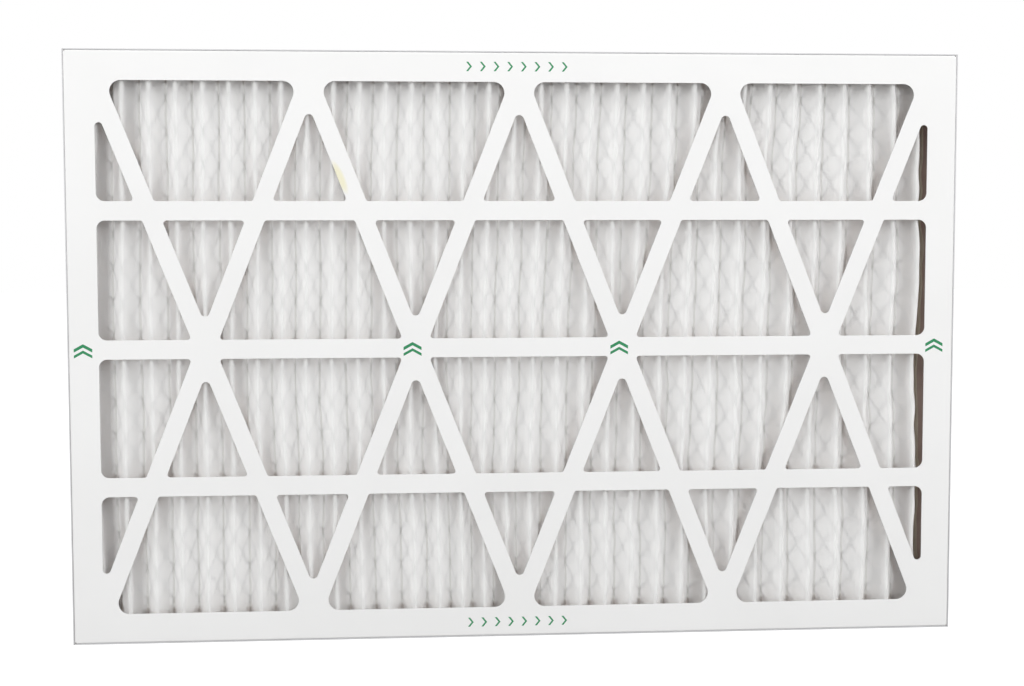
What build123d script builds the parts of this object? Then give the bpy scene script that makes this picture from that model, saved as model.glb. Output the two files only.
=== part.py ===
from build123d import *
import os
from math import asin, atan2, cos, degrees, hypot, pi, sin, tan

# A one-inch pleated panel air filter, standing on its long edge.
# X runs along the panel, Y through it from the front face to the back, and Z is up.
# The origin is the middle of the bottom. All lengths are in millimetres.

# Whole panel
panel_width = 596.9  # 23 1/2 in
panel_height = 393.7  # 15 1/2 in
panel_depth = 22.2  # 7/8 in

# Beverage board, folded into two trays that nest flange to flange
board = 0.7
fold_radius = 1.1  # outside of a fold
corner_slit = 0.4  # between the flanges of a corner
rim_gap = 0.6  # from the front tray's rim to the back tray's face
tab_length = 16.0  # corner tab glued inside the short flange
tab_inset = 2.0  # from the face panel to the tab's end

# Die-cut face: a border, level strips and slanting strips that cross in a row of X shapes
border = 20.2
strip_width = 12.7
slant_width = 12.0
level_strips = 3
crossings = 4
border_corner = 7.3  # window corners on the long borders
side_corner = 5.5  # window corners on the short borders
strip_corner = 1.3  # cut across the small window corners between strips
point_radius = 3.1  # points of the triangles
sliver_radius = 2.6  # points of the windows at the short borders

# Pleated pack: media in front, expanded-metal support grid behind, folded together
pleats = 33
media = 1.0
grid = 0.4
bend_radius = 0.5  # inside of a bend, at either face
wide_bend = 1.0  # a round wider than this is folded in three flats, a tighter one in one
side_gap = 0.9  # from the first flank to the corner tab beside it
end_gap = 13.0  # from the last flank's foot to the corner tab beyond it

# Openings of the expanded metal: diamonds down each flank, in brick order
diamond_width = 4.6
diamond_web = 12.0  # metal between two diamonds of a flank
diamond_rows = 2

# Adhesive
film = 0.15  # on the inside of each tray's border and strips
film_margin = 2.0  # board left bare at each edge of the film
end_glue = 0.9  # between the pleats' cut ends and the long flanges
bead = 3.0  # fillet of glue along the first and the last flank
joint_gap = 0.1  # clearance between glued pieces that don't bear on each other

# The front tray sits inside the back tray, so it is smaller by the board on every side
inner_width = panel_width - 2 * board
inner_height = panel_height - 2 * board
inside_width = inner_width - 2 * board
inside_height = inner_height - 2 * board
front_face = Plane(
    origin=(0, -panel_depth / 2, panel_height / 2), x_dir=(1, 0, 0), z_dir=(0, 1, 0)
)
back_face = Plane(
    origin=(0, panel_depth / 2, panel_height / 2), x_dir=(1, 0, 0), z_dir=(0, -1, 0)
)


# Windows: the opening inside the border, less the strips that cross it
opening_width = panel_width - 2 * border
opening_height = panel_height - 2 * border
row_height = (opening_height - level_strips * strip_width) / (level_strips + 1)
row_pitch = row_height + strip_width
cross_pitch = opening_width / crossings
slant_run = cross_pitch / opening_height  # sideways run of a slanting strip, per unit of height
slant_length = hypot(cross_pitch, opening_height)
slant_angle = degrees(asin(cross_pitch / slant_length))
slant_half = slant_width / 2 * slant_length / opening_height  # half width, measured level
point_drop = slant_half / slant_run  # from a strip's centre line crossing to a sharp point
level_centres = [(k - (level_strips - 1) / 2) * row_pitch for k in range(level_strips)]
cross_centres = [(k - (crossings - 1) / 2) * cross_pitch for k in range(crossings)]


def strips(margin, mode):
    """Draw the level and slanting strips, narrowed by a margin at each edge."""
    for y in level_centres:
        with Locations((0, y)):
            Rectangle(opening_width, strip_width - 2 * margin, mode=mode)
    for x in cross_centres:
        with Locations((x, 0)):
            for turn in (slant_angle, -slant_angle):
                Rectangle(
                    slant_width - 2 * margin, slant_length + border, rotation=turn, mode=mode
                )


def near(a, b):
    return abs(a - b) < 0.01


def is_strip_corner(v):
    return not (
        near(abs(v.Y), opening_height / 2)
        or near(abs(v.X), opening_width / 2)
        or is_triangle_point(v)
    )


def is_triangle_point(v):
    at_border = near(abs(v.Y), opening_height / 2 - point_drop)
    at_crossing = near(abs(v.Y), point_drop)
    return (at_border or at_crossing) and not near(abs(v.X), opening_width / 2)


def is_sliver_point(v):
    return near(abs(v.X), opening_width / 2) and near(
        abs(v.Y), opening_height / 2 - point_drop
    )


def is_side_corner(v):
    on_strip_edge = any(near(abs(v.Y - y), strip_width / 2) for y in level_centres)
    return near(abs(v.X), opening_width / 2) and on_strip_edge


def is_border_corner(v):
    return near(abs(v.Y), opening_height / 2)


with BuildSketch() as windows:
    Rectangle(opening_width, opening_height)
    strips(0, Mode.SUBTRACT)
    chamfer([v for v in windows.vertices() if is_strip_corner(v)], length=strip_corner)
    for belongs, radius in (
        (is_triangle_point, point_radius),
        (is_border_corner, border_corner),
        (is_sliver_point, sliver_radius),
        (is_side_corner, side_corner),
    ):
        fillet([v for v in windows.vertices() if belongs(v)], radius=radius)


def folded_tray(width, height, depth, face_plane, tabs):
    """One tray: a face panel on face_plane and four flanges folded back along its normal.

    The box is shelled to the board's thickness with its far side open, the windows are cut in
    its face, and a slit parts the flanges at each corner. With tabs, each end of a long flange
    turns the corner behind the short one.
    """
    fold_axis = Axis((0, 0, 0), face_plane.z_dir)
    with BuildPart() as tray:
        with BuildSketch(face_plane):
            Rectangle(width, height)
        extrude(amount=depth)
        fillet(tray.faces().sort_by(fold_axis)[0].edges(), radius=fold_radius)
        offset(amount=-board, openings=tray.faces().sort_by(fold_axis)[-1])

        with BuildSketch(face_plane):
            add(windows.sketch)
        extrude(amount=board, mode=Mode.SUBTRACT)

        with BuildSketch(face_plane):
            with GridLocations(width - 2 * board - corner_slit, height - board, 2, 2):
                Rectangle(corner_slit, board + 2 * corner_slit)
        extrude(amount=depth, mode=Mode.SUBTRACT)

        if tabs:
            tab_span = width - 3 * board - 2 * corner_slit
            with BuildSketch(face_plane.offset(tab_inset)):
                with GridLocations(tab_span, height - tab_length, 2, 2):
                    Rectangle(board, tab_length)
            extrude(amount=depth - tab_inset)
    return tray


# Back tray: the outer half, whose flanges run the whole depth
back_frame = folded_tray(panel_width, panel_height, panel_depth, back_face, tabs=False)
back_frame.part.label = "back_frame"

# Front tray: the inner half, whose flanges stop short of the back tray's face
front_depth = panel_depth - board - rim_gap
front_frame = folded_tray(inner_width, inner_height, front_depth, front_face, tabs=True)
front_frame.part.label = "front_frame"


# Adhesive film on the inside of a tray's face, under the border and along the strips
film_width = inside_width - 2 * (fold_radius - board + joint_gap)
film_height = inside_height - 2 * (fold_radius - board + joint_gap)


def glue_film(face_plane):
    """Film on one tray's face, standing on the board's inner side."""
    with BuildPart() as glue:
        with BuildSketch(face_plane.offset(board)):
            Rectangle(film_width, film_height)
            Rectangle(
                opening_width + 2 * film_margin,
                opening_height + 2 * film_margin,
                mode=Mode.SUBTRACT,
            )
            strips(film_margin, Mode.ADD)
            Rectangle(film_width, film_height, mode=Mode.INTERSECT)
        extrude(amount=film)
    return glue


front_strip_glue = glue_film(front_face)
front_strip_glue.part.label = "front_strip_glue"
back_strip_glue = glue_film(back_face)
back_strip_glue.part.label = "back_strip_glue"

# Pleat form. Bends are numbered from the left, and the even ones are the tips on the front film.
# The layers of a bend share its centre, and a flank is the straight line between two rounds.
pack_front = -panel_depth / 2 + board + film
pack_back = -pack_front
tab_reach = 3 * board + corner_slit  # from the panel's end to the inside of a corner tab
pack_start = -panel_width / 2 + tab_reach + side_gap
pack_end = panel_width / 2 - tab_reach - end_gap
bends = 2 * pleats + 1
half_pitch = (pack_end - pack_start) / bends
tip_radius = bend_radius + media + grid
centre_depth = pack_back - pack_front - 2 * tip_radius
flank_lean = atan2(half_pitch, centre_depth) - asin(
    (tip_radius + bend_radius) / hypot(half_pitch, centre_depth)
)


def bend(number, depth):
    """Centre and radius of a bend, for the surface that lies under a thickness of sheet."""
    x = pack_start + half_pitch * number
    if number % 2 == 0:
        return x, pack_front + tip_radius, tip_radius - depth
    return x, pack_back - tip_radius, bend_radius + depth


def bend_points(number, depth):
    """Corners of the flats that stand round a bend, from left to right."""
    x, y, radius = bend(number, depth)
    flats = 3 if radius > wide_bend else 1
    step = (pi - 2 * flank_lean) / (flats + 1)
    reach = radius / cos(step / 2)
    side = -1 if number % 2 == 0 else 1
    turns = [step * (k - flats / 2) for k in range(flats + 1)]
    return [(x + reach * sin(turn), y + side * reach * cos(turn)) for turn in turns]


def flank_point(flank, y, depth):
    """Point at height y on a flank of the surface that lies under a thickness of sheet."""
    tip = flank + flank % 2
    side = 1 if tip == flank else -1
    x, centre_y, radius = bend(tip, depth)
    fall = y - centre_y + radius * sin(flank_lean)
    return (x + side * (radius * cos(flank_lean) + fall * tan(flank_lean)), y)


def surface(depth):
    """Zigzag of one surface, from the front border at the left to the back border at the right."""
    Polyline(
        flank_point(0, pack_front, depth),
        *[point for k in range(1, bends) for point in bend_points(k, depth)],
        flank_point(bends - 1, pack_back, depth),
    )


# Openings of the support grid: wide diamonds, few to a flank, on the flat of the flank
sheet_height = inside_height - 2 * end_glue
row_step = sheet_height / diamond_rows
diamond_height = row_step - diamond_web
with BuildSketch() as diamonds:
    for flank in range(bends):
        rows = diamond_rows if flank % 2 == 0 else diamond_rows - 1
        middle = flank_point(flank, 0, media + grid / 2)[0]
        with Locations((middle, panel_height / 2)):
            with GridLocations(0, row_step, 1, rows):
                Polygon(
                    (diamond_width / 2, 0),
                    (0, diamond_height / 2),
                    (-diamond_width / 2, 0),
                    (0, -diamond_height / 2),
                )


def pleated_sheet(near_depth, far_depth, openings):
    """A folded sheet between two depths of the pack, cut square at its top and bottom."""
    with BuildPart() as sheet:
        with BuildSketch(Plane.XY.offset((panel_height - sheet_height) / 2)):
            with BuildLine():
                surface(near_depth)
                surface(far_depth)
                for flank, y in ((0, pack_front), (bends - 1, pack_back)):
                    Line(flank_point(flank, y, near_depth), flank_point(flank, y, far_depth))
            make_face()
        extrude(amount=sheet_height)
        if openings:
            with BuildSketch(Plane.XZ):
                add(openings.sketch)
            extrude(amount=panel_depth, both=True, mode=Mode.SUBTRACT)
    return sheet


filter_media = pleated_sheet(0, media, None)
filter_media.part.label = "media"
support_grid = pleated_sheet(media, media + grid, diamonds)
support_grid.part.label = "support_grid"

# Glue across the pleats' cut ends, between the long flanges
end_length = 2 * (panel_width / 2 - tab_reach - joint_gap)
end_front = -panel_depth / 2 + fold_radius + joint_gap


def end_seal(bottom):
    """Layer of glue over one cut end of the pack, standing on a height."""
    with BuildPart() as seal:
        with BuildSketch(Plane.XY.offset(bottom)):
            with Locations((0, (end_front + pack_back) / 2)):
                Rectangle(end_length, pack_back - end_front)
        extrude(amount=end_glue)
    return seal


bottom_edge_glue = end_seal((panel_height - inside_height) / 2)
bottom_edge_glue.part.label = "bottom_edge_glue"
top_edge_glue = end_seal((panel_height + inside_height) / 2 - end_glue)
top_edge_glue.part.label = "top_edge_glue"

# Bead between the short flange and the back of the first flank, in the corner with the border
first_flank = media + grid
with BuildPart() as left_edge_glue:
    with BuildSketch(Plane.XY.offset(panel_height / 2)):
        Polygon(
            (-inside_width / 2, pack_front + fold_radius - board),
            (-inside_width / 2 + fold_radius - board, pack_front),
            flank_point(0, pack_front, first_flank),
            flank_point(0, pack_front + bead, first_flank),
            (-inside_width / 2, pack_front + bead),
            align=None,
        )
    extrude(amount=sheet_height / 2 - tab_length - joint_gap, both=True)
left_edge_glue.part.label = "left_edge_glue"

# Bead in the corner between the last flank's foot and the back border
with BuildPart() as right_edge_glue:
    foot = flank_point(bends - 1, pack_back, 0)
    with BuildSketch(Plane.XY.offset(panel_height / 2)):
        Polygon(
            foot,
            (foot[0] + bead, pack_back),
            flank_point(bends - 1, pack_back - bead, 0),
            align=None,
        )
    extrude(amount=sheet_height / 2, both=True)
right_edge_glue.part.label = "right_edge_glue"

os.makedirs("parts", exist_ok=True)
for piece in (
    front_frame,
    back_frame,
    filter_media,
    support_grid,
    front_strip_glue,
    back_strip_glue,
    top_edge_glue,
    bottom_edge_glue,
    left_edge_glue,
    right_edge_glue,
):
    export_step(piece.part, f"parts/{piece.part.label}.step")
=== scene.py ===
import math

import bmesh
import bpy
from mathutils import Matrix, Vector, noise


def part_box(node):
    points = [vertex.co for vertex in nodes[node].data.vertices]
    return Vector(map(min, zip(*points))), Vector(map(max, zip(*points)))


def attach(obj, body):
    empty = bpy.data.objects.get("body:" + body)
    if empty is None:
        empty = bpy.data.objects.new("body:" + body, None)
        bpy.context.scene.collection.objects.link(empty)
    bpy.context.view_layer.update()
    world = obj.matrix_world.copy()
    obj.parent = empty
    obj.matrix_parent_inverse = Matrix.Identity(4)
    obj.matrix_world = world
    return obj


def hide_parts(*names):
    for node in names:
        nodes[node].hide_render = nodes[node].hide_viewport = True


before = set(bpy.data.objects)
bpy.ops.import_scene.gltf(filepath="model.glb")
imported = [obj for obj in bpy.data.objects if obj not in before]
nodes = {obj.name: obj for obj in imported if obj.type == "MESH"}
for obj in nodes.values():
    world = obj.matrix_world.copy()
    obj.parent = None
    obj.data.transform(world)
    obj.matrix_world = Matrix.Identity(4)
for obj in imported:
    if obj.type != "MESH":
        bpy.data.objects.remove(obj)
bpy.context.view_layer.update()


# ---- Trays ----
# The casing is two trays of beverage board, nested flange to flange and glued. Each is one
# die-cut blank: clay-coated white outside, brown kraft inside, with a bare grey cut edge. The
# die leaves a round corner wherever two strips meet.

panel_low, panel_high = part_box("back_frame")
panel_width = panel_high.x - panel_low.x
panel_height = panel_high.z - panel_low.z
panel_depth = panel_high.y - panel_low.y
panel_middle = (panel_low.z + panel_high.z) / 2
border = 0.0202
board = 0.0007
corner_slit = 0.0004
strip_round = 0.002
corner_steps = 6
blunt_length = 0.0025  # longest blunted corner, between two strips
blunt_turns = (0.5, 1.2)  # how far the cut edge turns at each end of a blunted corner, in radians
sharp_turn = 1.0  # least turn of a corner that gets its round
narrow_turn = 1.5  # the narrow corners turn more than this, and the wide ones less
flat_turn = 0.002  # faces that meet at less are one face
squarely = 0.999  # least share of a normal along an axis, for a face that lies across it
weld = 0.000002


def show(mesh, name, slot, *stands_for):
    """Turn a bmesh into a piece that rides on the panel, in place of the nodes it stands for."""
    data = bpy.data.meshes.new(name)
    mesh.to_mesh(data)
    mesh.free()
    piece = bpy.data.objects.new(name, data)
    bpy.context.scene.collection.objects.link(piece)
    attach(piece, "root")
    if stands_for:
        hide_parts(*stands_for)
    return piece


def inward_turn(edge):
    """How far the cut edge of the board turns inwards at an upright edge, in radians."""
    if not edge.is_manifold or edge.calc_length() > 2 * board:
        return 0
    return -edge.calc_face_angle_signed()


def die_cut(node, name, outside):
    """A tray whose strips meet in round corners.

    Its pierced face is opened, the blunted corners of its windows are drawn out to a point and
    rounded, and both sides of the face are filled again.
    """
    blank = bmesh.new()
    blank.from_mesh(nodes[node].data)
    bmesh.ops.remove_doubles(blank, verts=blank.verts, dist=weld)
    face_depth = panel_depth / 2 - 1.5 * board
    pierced = [
        face
        for face in blank.faces
        if abs(face.normal.y) > squarely and face.calc_center_median().y * outside > face_depth
    ]
    bmesh.ops.delete(blank, geom=pierced, context="FACES_KEEP_BOUNDARY")
    bmesh.ops.dissolve_limit(blank, angle_limit=flat_turn, verts=blank.verts, edges=blank.edges)
    sharpened = {}
    for face in blank.faces:
        turns = [inward_turn(edge) for edge in face.edges]
        blunt = sum(blunt_turns[0] < turn < blunt_turns[1] for turn in turns) == 2
        if blunt and face.calc_area() < blunt_length * board:
            reach = face.calc_area() / board / 2 * math.tan(max(turns))
            point = face.calc_center_median() - face.normal * reach
            for vert in face.verts:
                sharpened[vert] = (point.x, vert.co.y, point.z)
    for vert, tip in sharpened.items():
        vert.co = tip
    bmesh.ops.remove_doubles(blank, verts=list(sharpened), dist=weld)
    blank.normal_update()
    for narrow in (True, False):
        turns = {edge: inward_turn(edge) for edge in blank.edges}
        sharp = [edge for edge in turns if turns[edge] > sharp_turn]
        corners = [edge for edge in sharp if (turns[edge] > narrow_turn) == narrow]
        bmesh.ops.bevel(
            blank,
            geom=corners,
            offset=strip_round * math.tan(turns[corners[0]] / 2),
            segments=corner_steps,
            profile=0.5,
            affect="EDGES",
            material=-1,
        )
    for depth in (panel_depth / 2, panel_depth / 2 - board):
        rims = [
            edge
            for edge in blank.edges
            if edge.is_boundary and all(abs(v.co.y * outside - depth) < weld for v in edge.verts)
        ]
        bmesh.ops.triangle_fill(blank, edges=rims, use_beauty=True, normal=(0, outside, 0))
    bmesh.ops.recalc_face_normals(blank, faces=blank.faces)
    for face in blank.faces:
        face.smooth = max(abs(part) for part in face.normal) < squarely
    return show(blank, name, "board", node)


class Field:
    """A value in a material. Python's operators on it add the material's maths nodes."""

    def __init__(self, finish, socket):
        self.finish = finish
        self.socket = socket

    def maths(self, operation, *values):
        return self.finish.node("Math", {"operation": operation}, dict(enumerate(values)))

    def __add__(self, other):
        return self.maths("ADD", self, other)

    def __radd__(self, other):
        return self.maths("ADD", other, self)

    def __sub__(self, other):
        return self.maths("SUBTRACT", self, other)

    def __rsub__(self, other):
        return self.maths("SUBTRACT", other, self)

    def __mul__(self, other):
        return self.maths("MULTIPLY", self, other)

    def __rmul__(self, other):
        return self.maths("MULTIPLY", other, self)

    def __truediv__(self, other):
        return self.maths("DIVIDE", self, other)

    def __abs__(self):
        return self.maths("ABSOLUTE", self)

    def __gt__(self, other):
        return self.maths("GREATER_THAN", self, other)

    def __lt__(self, other):
        return self.maths("LESS_THAN", self, other)

    def __mod__(self, other):
        return self.maths("FLOORED_MODULO", self, other)

    def sign(self):
        return self.maths("SIGN", self)

    def largest(self, other):
        return self.maths("MAXIMUM", self, other)

    def ramp(self, low, high):
        """0 at low, 1 at high, smooth between them and level beyond them."""
        settings = {"interpolation_type": "SMOOTHSTEP"}
        inputs = {"Value": self, "From Min": low, "From Max": high}
        return self.finish.node("MapRange", settings, inputs)

    def parts(self):
        node = self.finish.raw("SeparateXYZ", {}, {"Vector": self})
        return [Field(self.finish, node.outputs[axis]) for axis in "XYZ"]


class Finish:
    """One material, with its principled shader and a way to add nodes to it."""

    def __init__(self, name, **constants):
        self.material = bpy.data.materials.new(name)
        self.material.use_nodes = True
        self.tree = self.material.node_tree
        self.shader = self.tree.nodes["Principled BSDF"]
        self.output = self.tree.nodes["Material Output"]
        for socket, value in constants.items():
            self.shader.inputs[socket.replace("_", " ")].default_value = value

    def raw(self, kind, settings, inputs):
        node = self.tree.nodes.new("ShaderNode" + kind)
        for name, value in settings.items():
            setattr(node, name, value)
        for name, value in inputs.items():
            self.plug(node.inputs[name], value)
        return node

    def node(self, kind, settings, inputs, output=0):
        return Field(self, self.raw(kind, settings, inputs).outputs[output])

    def plug(self, socket, value):
        if isinstance(value, Field):
            self.tree.links.new(value.socket, socket)
        else:
            socket.default_value = value

    def set(self, **fields):
        for socket, value in fields.items():
            self.plug(self.shader.inputs[socket.replace("_", " ")], value)

    def let_light_through(self, share, colour):
        """Give part of the surface to light that comes from behind it."""
        through = self.raw("BsdfTranslucent", {}, {"Color": colour})
        mixed = self.raw("MixShader", {}, {0: share})
        self.tree.links.new(self.shader.outputs[0], mixed.inputs[1])
        self.tree.links.new(through.outputs[0], mixed.inputs[2])
        self.tree.links.new(mixed.outputs[0], self.output.inputs[0])

    def place(self):
        """Object coordinates, in metres."""
        return self.node("TexCoord", {}, {}, "Object")

    def normal(self):
        return self.node("TexCoord", {}, {}, "Normal")

    def noise(self, vector, scale, detail, roughness=0.5, stretch=(1, 1, 1)):
        placed = self.node("Mapping", {}, {"Vector": vector, "Scale": stretch})
        inputs = {"Vector": placed, "Scale": scale, "Detail": detail, "Roughness": roughness}
        return self.node("TexNoise", {}, inputs)

    def blend(self, amount, under, over):
        """Colour under where amount is 0, and over where it is 1."""
        settings = {"data_type": "RGBA"}
        mix = self.raw("Mix", settings, {0: amount, 6: under, 7: over})
        return Field(self, mix.outputs[2])

    def bump(self, height, distance, strength):
        inputs = {"Height": height, "Distance": distance, "Strength": strength}
        return self.node("Bump", {}, inputs)


ink_green = (0.030, 0.270, 0.110, 1)
ink_rise = panel_height / 2 - border / 2
row_place = -0.002
row_length = 0.073
row_height = 0.0062
row_pitch = 0.0091
row_tip = 0.7  # where in its pitch a chevron has its tip
row_slant = 0.8
row_stroke = 0.0014
mark_rise = 0.0018
mark_places = (-0.2884, -0.0718, 0.0675, 0.2850)
mark_width = 0.012
mark_height = 0.0078
mark_pitch = 0.0042
mark_slant = 0.55
mark_stroke = 0.0022


def printed(x, up):
    """Mask of the ink: a row of chevrons on the long borders, and small airflow marks between."""
    ink = 0
    for row in (-ink_rise, ink_rise):
        lift = abs(up - row)
        slant = (x - row_place + row_length / 2 + lift * row_slant) % row_pitch
        stroke = abs(slant - row_pitch * row_tip) < row_stroke / 2
        ink = ink + stroke * (abs(x - row_place) < row_length / 2) * (lift < row_height / 2)
    for mark_place in mark_places:
        side = abs(x - mark_place)
        slope = up - mark_rise + side * mark_slant
        stroke = slope % mark_pitch < mark_stroke
        ink = ink + stroke * (abs(slope) < mark_height / 2) * (side < mark_width / 2)
    return ink


stain_place = (-0.1192, 0.1135)
stain_half_length = 0.0135
stain_half_width = 0.0036
strip_across = (0.918, 0.396)  # unit vector across the slanting strip that has the stain


def glue_stain(x, up):
    """Mask of the one place where glue soaked through at the edge of a slanting strip."""
    east = x - stain_place[0]
    north = up - stain_place[1]
    along = (east * strip_across[1] - north * strip_across[0]) / stain_half_length
    across = (east * strip_across[0] + north * strip_across[1]) / stain_half_width
    return (along * along + across * across).ramp(1.0, 0.1)


flange_wall = 0.0016  # a little more than the two nested flanges
window_margin = 0.004  # no window comes so near to the panel's ends
brim_paint_depth = 0.003  # depth from the flanges' rims, where the board's cut edge shows and the kraft just inside is painted pale grey as painted light in the shaded gap between the flanges
facing = 0.3  # least share of a normal towards a side, for a face that looks there


def board_finish(name, outside):
    """Beverage board. outside is -1 for the tray that faces the front and 1 for the back one."""
    finish = Finish(name, Roughness=0.5, Specular_IOR_Level=0.35)
    place = finish.place()
    x, y, z = place.parts()
    turn_x, turn_y, turn_z = finish.normal().parts()
    up = z - panel_middle
    on_end = abs(x) > panel_width / 2 - flange_wall
    on_long = abs(up) > panel_height / 2 - flange_wall
    outward = (turn_y * outside).largest(turn_x * x.sign() * on_end)
    outward = outward.largest(turn_z * up.sign() * on_long)
    coated = outward > facing
    across_span = abs(x) < panel_width / 2 - window_margin
    upright_span = abs(up) < panel_height / 2 - window_margin
    window_wall = (abs(turn_y) < facing) * across_span * upright_span
    # Near the rims the cut edge is grey, and the kraft inside is painted the same pale grey:
    # painted light in the narrow gap between the nested flanges, which lies in shade.
    brim_edge_and_painted_light = y * -outside > panel_depth / 2 - brim_paint_depth
    cut = window_wall.largest(brim_edge_and_painted_light)

    fibres = finish.noise(place, 900.0, 3.0, 0.6, (1, 1, 4))
    clouds = finish.noise(place, 14.0, 2.0)
    kraft = finish.blend(fibres, (0.36, 0.265, 0.225, 1), (0.50, 0.385, 0.330, 1))
    # The cut edges' grey, which near the rims is also painted light on the kraft.
    bare = finish.blend(cut, kraft, (0.66, 0.66, 0.67, 1))
    white = finish.blend(clouds.ramp(0.3, 0.7), (0.905, 0.905, 0.900, 1), (0.922, 0.922, 0.918, 1))
    if outside < 0:
        stained = glue_stain(x, up) * 0.55
        white = finish.blend(stained, white, (0.86, 0.80, 0.42, 1))
        white = finish.blend(printed(x, up), white, ink_green)
    finish.set(Base_Color=finish.blend(coated, bare, white))
    finish.set(Roughness=0.85 - coated * 0.38 + (clouds - 0.5) * 0.08)
    grain = finish.noise(place, 420.0, 3.0, 0.55)
    finish.set(Normal=finish.bump(grain + (1 - coated) * fibres, 0.00004, 0.5))
    return finish


for node, name, outside in (("front_frame", "front_tray", -1), ("back_frame", "back_tray", 1)):
    tray = die_cut(node, name, outside)
    tray.data.materials.append(board_finish(name + "_board", outside).material)


# ---- Pleated pack ----
# One web of white synthetic media, folded into 33 and a half pleats together with the steel
# mesh behind it, and set between the trays. It is soft, so the folds waver between their glued
# ends, and the middle ones went in askew.

film = 0.00015
side_gap = 0.0009
end_gap = 0.013
pleats = 33
media = 0.001
grid = 0.0004
bend_radius = 0.0005
end_glue = 0.0009
arc_steps = 4
flank_steps = 3
rows = 120

pack_front = -panel_depth / 2 + board + film
pack_back = -pack_front
tab_reach = 3 * board + corner_slit
pack_start = -panel_width / 2 + tab_reach + side_gap
pack_end = panel_width / 2 - tab_reach - end_gap
bends = 2 * pleats + 1
half_pitch = (pack_end - pack_start) / bends
tip_radius = bend_radius + media + grid
centre_depth = pack_back - pack_front - 2 * tip_radius
flank_lean = math.atan2(half_pitch, centre_depth) - math.asin(
    (tip_radius + bend_radius) / math.hypot(half_pitch, centre_depth)
)
sheet_height = panel_height - 4 * board - 2 * end_glue
sheet_low = panel_low.z + 2 * board + end_glue
turn_range = math.pi / 2 - flank_lean
flat_length = math.sqrt(half_pitch**2 + centre_depth**2 - (tip_radius + bend_radius) ** 2)
fold_length = flat_length + (tip_radius + bend_radius) * turn_range


def bend_round(number, depth):
    """Radius of a bend at a depth of the sheet's thickness: even bends are the front ridges."""
    return tip_radius - depth if number % 2 == 0 else bend_radius + depth


def bend_point(number, turn, depth):
    """A point of a bend: turn runs from one flank, through 0 at the tip, to the next."""
    front = number % 2 == 0
    centre_y = pack_front + tip_radius if front else pack_back - tip_radius
    side = -1 if front else 1
    radius = bend_round(number, depth)
    x = pack_start + half_pitch * number + radius * math.sin(turn)
    return x, centre_y + side * radius * math.cos(turn)


def smooth(value, low, high):
    """0 below low, 1 above high, with an even start and end."""
    share = min(max((value - low) / (high - low), 0), 1)
    return share * share * (3 - 2 * share)


askew_shift = -0.0088  # at the foot of the folds that went in askew
askew_rise = (-0.062, 0.022)
askew_fall = (0.165, 0.262)
pulled_shift = -0.0024  # of the last folds, beyond the askew ones
bow_shift = -0.0028  # half way up
left_bow = (-0.28, -0.23)
inner_bow = (-0.17, -0.13)
slow_wave = 0.0016
brisk_wave = 0.0008
end_hold = 6  # the waves reach their full size at a sixth of the height from each end
least_slack = 0.6  # the pack is looser towards its right end
more_slack = 0.8


def wander(x, z):
    """Sideways drift of the soft folds: how they went in askew, and how they waver."""
    height = z / panel_height
    rise = smooth(x, *askew_rise)
    fall = smooth(x, *askew_fall)
    askew = askew_shift * math.cos(math.pi / 2 * height) * rise * (1 - fall)
    pulled = pulled_shift * fall
    bow_share = smooth(x, *inner_bow) * (1 - rise) + (1 - smooth(x, *left_bow))
    bowed = bow_shift * math.sin(math.pi * height) * bow_share
    hold = min(1.0, end_hold * height, end_hold * (1 - height))
    slack = least_slack + more_slack * (x + panel_width / 2) / panel_width
    slow = noise.noise(Vector((x * 22, 3.1, z * 14)))
    brisk = noise.noise(Vector((x * 60, 7.7, z * 60)))
    return askew + pulled + bowed + hold * slack * (slow_wave * slow + brisk_wave * brisk)


def foot(point, side, edge_y):
    """Where the first or the last flank meets the border, from the bend beside it."""
    drop = abs(edge_y - point.z)
    reach = side * drop * math.tan(flank_lean)
    return Vector((point.x + side * drop / math.cos(flank_lean), point.y + reach, edge_y))


def joined(first, last):
    """The points of a flank between its two ends, without them."""
    return [first.lerp(last, k / flank_steps) for k in range(1, flank_steps)]


def section(depth):
    """The zigzag at a depth of the sheet's thickness: place along the flat web, x and y."""
    points = []
    for number in range(1, bends):
        arc = []
        for k in range(arc_steps + 1):
            turn = turn_range * (2 * k / arc_steps - 1)
            along = number * fold_length + bend_round(number, depth) * turn
            arc.append(Vector((along, *bend_point(number, turn, depth))))
        if points:
            points += joined(points[-1], arc[0])
        points += arc
    start = foot(points[0], -1, pack_front)
    end = foot(points[-1], 1, pack_back)
    return [start] + joined(start, points[0]) + points + joined(points[-1], end) + [end]


zigzag = section(media / 2)
columns = len(zigzag) - 1
web = bmesh.new()
flat_place = web.loops.layers.uv.new("web")
spots = {}
for vert in bmesh.ops.create_grid(web, x_segments=columns, y_segments=rows, size=1)["verts"]:
    along, x, y = zigzag[round((vert.co.x + 1) / 2 * columns)]
    z = sheet_low + sheet_height * (vert.co.y + 1) / 2
    spots[vert] = (along - fold_length, z - sheet_low)
    vert.co = (x + wander(x, z), y, z)
bmesh.ops.recalc_face_normals(web, faces=web.faces)
for face in web.faces:
    face.smooth = True
    for loop in face.loops:
        loop[flat_place].uv = spots[loop.vert]
pleated_media = show(web, "pleated_media", "media", "media")

valley_shade_reach = (0.0017, 0.0003)  # from a valley's fold: where its painted shade begins, and where it is full
valley_shade_strength = 0.6
ridge_reach = (0.0045, 0.0010)
# how much the ridges are painted darker, as painted shade
painted_ridge_shade = 0.8
ridge_shade = 0.55  # how much less light comes through where the folds are doubled and glued
see_through = 0.72

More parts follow.
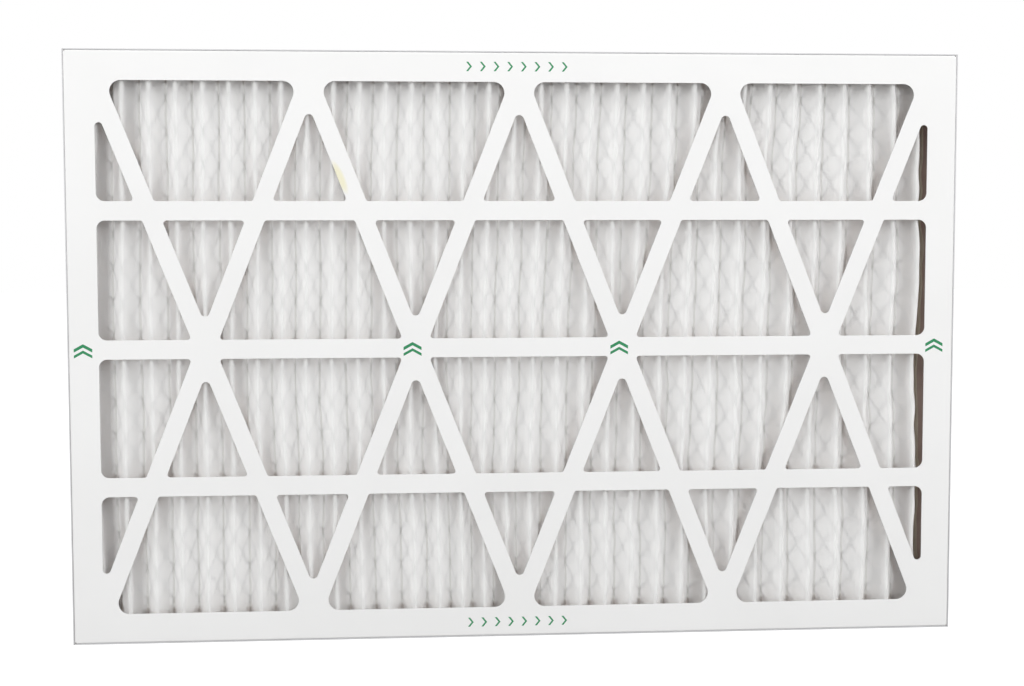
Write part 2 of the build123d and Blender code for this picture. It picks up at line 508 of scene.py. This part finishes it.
media_finish = Finish("media_fibre", Roughness=0.95, Specular_IOR_Level=0.1, Diffuse_Roughness=1.0)
place = media_finish.place()
tufts = media_finish.noise(place, 120.0, 4.0, 0.6)
fuzz = media_finish.noise(place, 900.0, 3.0, 0.65)
streaks = media_finish.noise(place, 160.0, 3.0, 0.55, (1, 1, 0.25))
shade = (fuzz * 0.55 + tufts * 0.35 + streaks * 0.1).ramp(0.25, 0.75)
web_along = media_finish.node("UVMap", {"uv_map": "web"}, {}).parts()[0]
from_valley = abs((web_along + fold_length) % (2 * fold_length) - fold_length)
# Painted shade: the fibre is painted grey along each valley's fold, for the shadow deep in the
# crease, and lets less light through there.
valley_painted_shade = from_valley.ramp(*valley_shade_reach) * valley_shade_strength
ridge = (fold_length - from_valley).ramp(*ridge_reach)
fibre = media_finish.blend(shade, (0.965, 0.963, 0.958, 1), (0.998, 0.997, 0.994, 1))
# Painted shade: the ridges are painted a little darker, so that their light is even with the
# flanks'.
ridge_shaded = media_finish.blend(ridge * painted_ridge_shade, fibre, (0.90, 0.898, 0.892, 1))
media_finish.set(Base_Color=media_finish.blend(valley_painted_shade, ridge_shaded, (0.62, 0.60, 0.57, 1)))
media_finish.set(Normal=media_finish.bump(fuzz * 0.6 + tufts * 0.7, 0.0005, 0.6))
light_share = (1 - valley_painted_shade) * (1 - ridge * ridge_shade) * see_through
media_finish.let_light_through(light_share, (0.995, 0.993, 0.987, 1))
pleated_media.data.materials.append(media_finish.material)


# ---- Support mesh ----
# Expanded steel mesh, slit and stretched from galvanised sheet and glued to the back of the
# media, so that both fold as one. Its knots stand at the same heights on every fold.

knot_rise = 0.0226
knot_half = 0.0013
strand_width = 0.0006
strand_cuts = 3
mesh_depth = media + grid / 2
front_round = (tip_radius - mesh_depth) * turn_range
back_round = (bend_radius + mesh_depth) * turn_range


def folded(along):
    """Point of the mesh's middle at a length along the flat web, counted from the first tip."""
    number = math.floor(along / fold_length)
    rest = along - number * fold_length
    rounds = (back_round, front_round) if number % 2 else (front_round, back_round)
    if rest < rounds[0]:
        return bend_point(number, turn_range * rest / rounds[0], mesh_depth)
    if rest > fold_length - rounds[1]:
        turn = turn_range * (fold_length - rest) / rounds[1]
        return bend_point(number + 1, -turn, mesh_depth)
    first = Vector(bend_point(number, turn_range, mesh_depth))
    second = Vector(bend_point(number + 1, -turn_range, mesh_depth))
    return tuple(first.lerp(second, (rest - rounds[0]) / flat_length))


def strand_route(column):
    """One zigzag strand on the flat web: places along it and up it, with room at each knot."""
    left = column * fold_length / 2 + strand_width / 2
    right = (column + 1) * fold_length / 2 - strand_width / 2
    route = []
    knots = math.ceil(sheet_height / (knot_rise / 2)) + 1
    for knot in range(knots):
        at_left = (knot + column) % 2 == 0
        here = left if at_left else right
        there = right if at_left else left
        height = knot * knot_rise / 2
        route += [(here, height - knot_half), (here, height + knot_half)]
        rise = knot_rise / 2 - 2 * knot_half
        for cut in range(1, strand_cuts):
            share = cut / strand_cuts
            route.append((here + (there - here) * share, height + knot_half + rise * share))
    return route


strands = bmesh.new()
first_column = 1
last_column = 2 * (bends - 1)
for column in range(first_column, last_column):
    route = strand_route(column)
    steps = len(route) - 1
    made = bmesh.ops.create_grid(strands, x_segments=steps, y_segments=1, size=1)["verts"]
    for vert in made:
        step = round((vert.co.x + 1) / 2 * steps)
        before = Vector(route[max(step - 1, 0)])
        after = Vector(route[min(step + 1, steps)])
        heading = (after - before).normalized()
        side = 1 if vert.co.y > 0 else -1
        along, up = Vector(route[step]) + side * strand_width / 2 * Vector((-heading.y, heading.x))
        x, y = folded(along)
        z = min(max(sheet_low + up, sheet_low), sheet_low + sheet_height)
        vert.co = (x + wander(x, z), y, z)
bmesh.ops.solidify(strands, geom=strands.faces[:], thickness=grid)
bmesh.ops.recalc_face_normals(strands, faces=strands.faces)
expanded_mesh = show(strands, "expanded_mesh", "grid", "support_grid")

steel_finish = Finish("galvanised", Roughness=0.42, Metallic=1.0)
place = steel_finish.place()
spangle = steel_finish.noise(place, 260.0, 2.0)
zinc = steel_finish.blend(spangle, (0.50, 0.51, 0.53, 1), (0.68, 0.69, 0.71, 1))
steel_finish.set(Base_Color=zinc)
steel_finish.set(Roughness=0.34 + spangle * 0.2)
expanded_mesh.data.materials.append(steel_finish.material)


# ---- Glue ----
# Hot-melt between trays and pleats: a clear film, brown from the kraft under it, inside the
# strips, a thick layer over the cut ends and a bead along the first and the last flank. The
# thick glue is cloudy and slightly yellow.

bead = 0.003
bead_steps = 5
bead_rows = 120
least_bead = 0.8  # shares of the bead's size, which wavers
more_bead = 0.5
flank_gap = 0.00002  # keeps the bead off the flank's own surface

film_finish = Finish("glue_film", Roughness=0.3, Specular_IOR_Level=0.5)
place = film_finish.place()
patches = film_finish.noise(place, 60.0, 3.0)
film_brown = film_finish.blend(patches, (0.36, 0.275, 0.24, 1), (0.55, 0.44, 0.395, 1))
film_finish.set(Base_Color=film_brown)
film_finish.set(Roughness=0.25 + patches * 0.2)
film_finish.set(Normal=film_finish.bump(patches, 0.0003, 0.5))

glue_finish = Finish("melt_glue", Roughness=0.35, Specular_IOR_Level=0.5)
place = glue_finish.place()
cloud = glue_finish.noise(place, 90.0, 3.0)
glue_straw = glue_finish.blend(cloud, (0.62, 0.58, 0.47, 1), (0.74, 0.70, 0.60, 1))
glue_finish.set(Base_Color=glue_straw)
glue_finish.set(Normal=glue_finish.bump(cloud, 0.0004, 0.6))

for node in nodes:
    if node.endswith("glue"):
        finish = film_finish if "strip" in node else glue_finish
        nodes[node].data.materials.clear()
        nodes[node].data.materials.append(finish.material)

last_foot_x = zigzag[-1].y
fillet = bmesh.new()
around = 2 * bead_steps
made = bmesh.ops.create_grid(fillet, x_segments=around, y_segments=bead_rows, size=1)["verts"]
for vert in made:
    step = round((vert.co.x + 1) / 2 * around)
    z = sheet_low + sheet_height * (vert.co.y + 1) / 2
    size = bead * (least_bead + more_bead * noise.noise(Vector((5.1, 2.3, z * 60))))
    if step <= bead_steps:
        turn = math.pi / 2 * step / bead_steps
        out = size * (1 - math.sin(turn))
        rise = size * (1 - math.cos(turn))
    else:
        share = (step - bead_steps) / bead_steps
        out, rise = (size * share, 0) if share > 0.5 else (0, size * (1 - 2 * share))
    x = last_foot_x - rise * math.tan(flank_lean) + max(out, flank_gap)
    vert.co = (x + wander(last_foot_x, z), pack_back - rise, z)
bmesh.ops.remove_doubles(fillet, verts=fillet.verts, dist=weld)
bmesh.ops.holes_fill(fillet, edges=[edge for edge in fillet.edges if edge.is_boundary])
bmesh.ops.recalc_face_normals(fillet, faces=fillet.faces)
last_flank_fillet = show(fillet, "last_flank_fillet", "glue", "right_edge_glue")
last_flank_fillet.data.materials.append(glue_finish.material)


# ---- Stage ----
# A pale floor under a white sky, soft lamps above, to both sides and behind, and the camera.
# The floor glows and the sky is brighter for the camera alone, so the backdrop is white without
# more light on the panel.

floor_glow = 0.76
floor_mesh = bmesh.new()
bmesh.ops.create_grid(floor_mesh, x_segments=1, y_segments=1, size=6)
floor_data = bpy.data.meshes.new("floor")
floor_mesh.to_mesh(floor_data)
floor_mesh.free()
floor = bpy.data.objects.new("floor", floor_data)
bpy.context.scene.collection.objects.link(floor)
floor_finish = Finish("floor_white", Roughness=1.0, Base_Color=(0.32, 0.32, 0.32, 1))
seen = floor_finish.node("LightPath", {}, {}, "Is Camera Ray")
glow = floor_finish.node("Emission", {}, {"Color": (1, 1, 1, 1), "Strength": seen * floor_glow})
painted = Field(floor_finish, floor_finish.shader.outputs[0])
both = floor_finish.raw("AddShader", {}, {0: glow, 1: painted})
floor_finish.tree.links.new(both.outputs[0], floor_finish.output.inputs[0])
floor_data.materials.append(floor_finish.material)

studio_level = 0.94
world = bpy.data.worlds.new("studio")
bpy.context.scene.world = world
world.use_nodes = True
sky = world.node_tree
rays = sky.nodes.new("ShaderNodeLightPath")
level = sky.nodes.new("ShaderNodeMath")
level.operation = "MULTIPLY_ADD"
sky.links.new(rays.outputs["Is Camera Ray"], level.inputs[0])
level.inputs[1].default_value = 1 - studio_level
level.inputs[2].default_value = studio_level
sky.nodes["Background"].inputs["Color"].default_value = (1, 1, 1, 1)
sky.links.new(level.outputs[0], sky.nodes["Background"].inputs["Strength"])


def lamp(name, place, aim, size, power):
    """A square soft box at a place, turned towards a point."""
    data = bpy.data.lights.new(name, "AREA")
    data.shape = "SQUARE"
    data.size = size
    data.energy = power
    soft_box = bpy.data.objects.new(name, data)
    soft_box.location = place
    direction = Vector(aim) - Vector(place)
    soft_box.rotation_euler = direction.to_track_quat("-Z", "Y").to_euler()
    bpy.context.scene.collection.objects.link(soft_box)


lamp("top", (0.0, -0.75, 1.25), (0, 0, 0.3), 0.9, 2.2)
lamp("left", (-0.95, -0.80, 0.95), (0, 0, 0.25), 0.8, 4.4)
lamp("right", (0.95, -0.80, 0.95), (0, 0, 0.25), 0.8, 4.4)
lamp("back", (0.0, 1.5, 0.9), (0, 0, 0.25), 1.4, 9)

camera_data = bpy.data.cameras.new("camera")
camera = bpy.data.objects.new("camera", camera_data)
bpy.context.scene.collection.objects.link(camera)
bpy.context.scene.camera = camera
image_width = 1024
focal_pixels = 1650
camera_data.sensor_width = 36
camera_data.lens = focal_pixels / image_width * camera_data.sensor_width
camera_place = Vector((-0.0920, -1.1131, 0.2770))
camera_aim = Vector((-0.0051, -0.0111, 0.1997))
camera_roll = math.radians(0.085)
look = (camera_aim - camera_place).to_track_quat("-Z", "Y").to_matrix().to_4x4()
camera.matrix_world = (
    Matrix.Translation(camera_place) @ look @ Matrix.Rotation(-camera_roll, 4, "Z")
)

bpy.context.scene.view_settings.view_transform = "Standard"
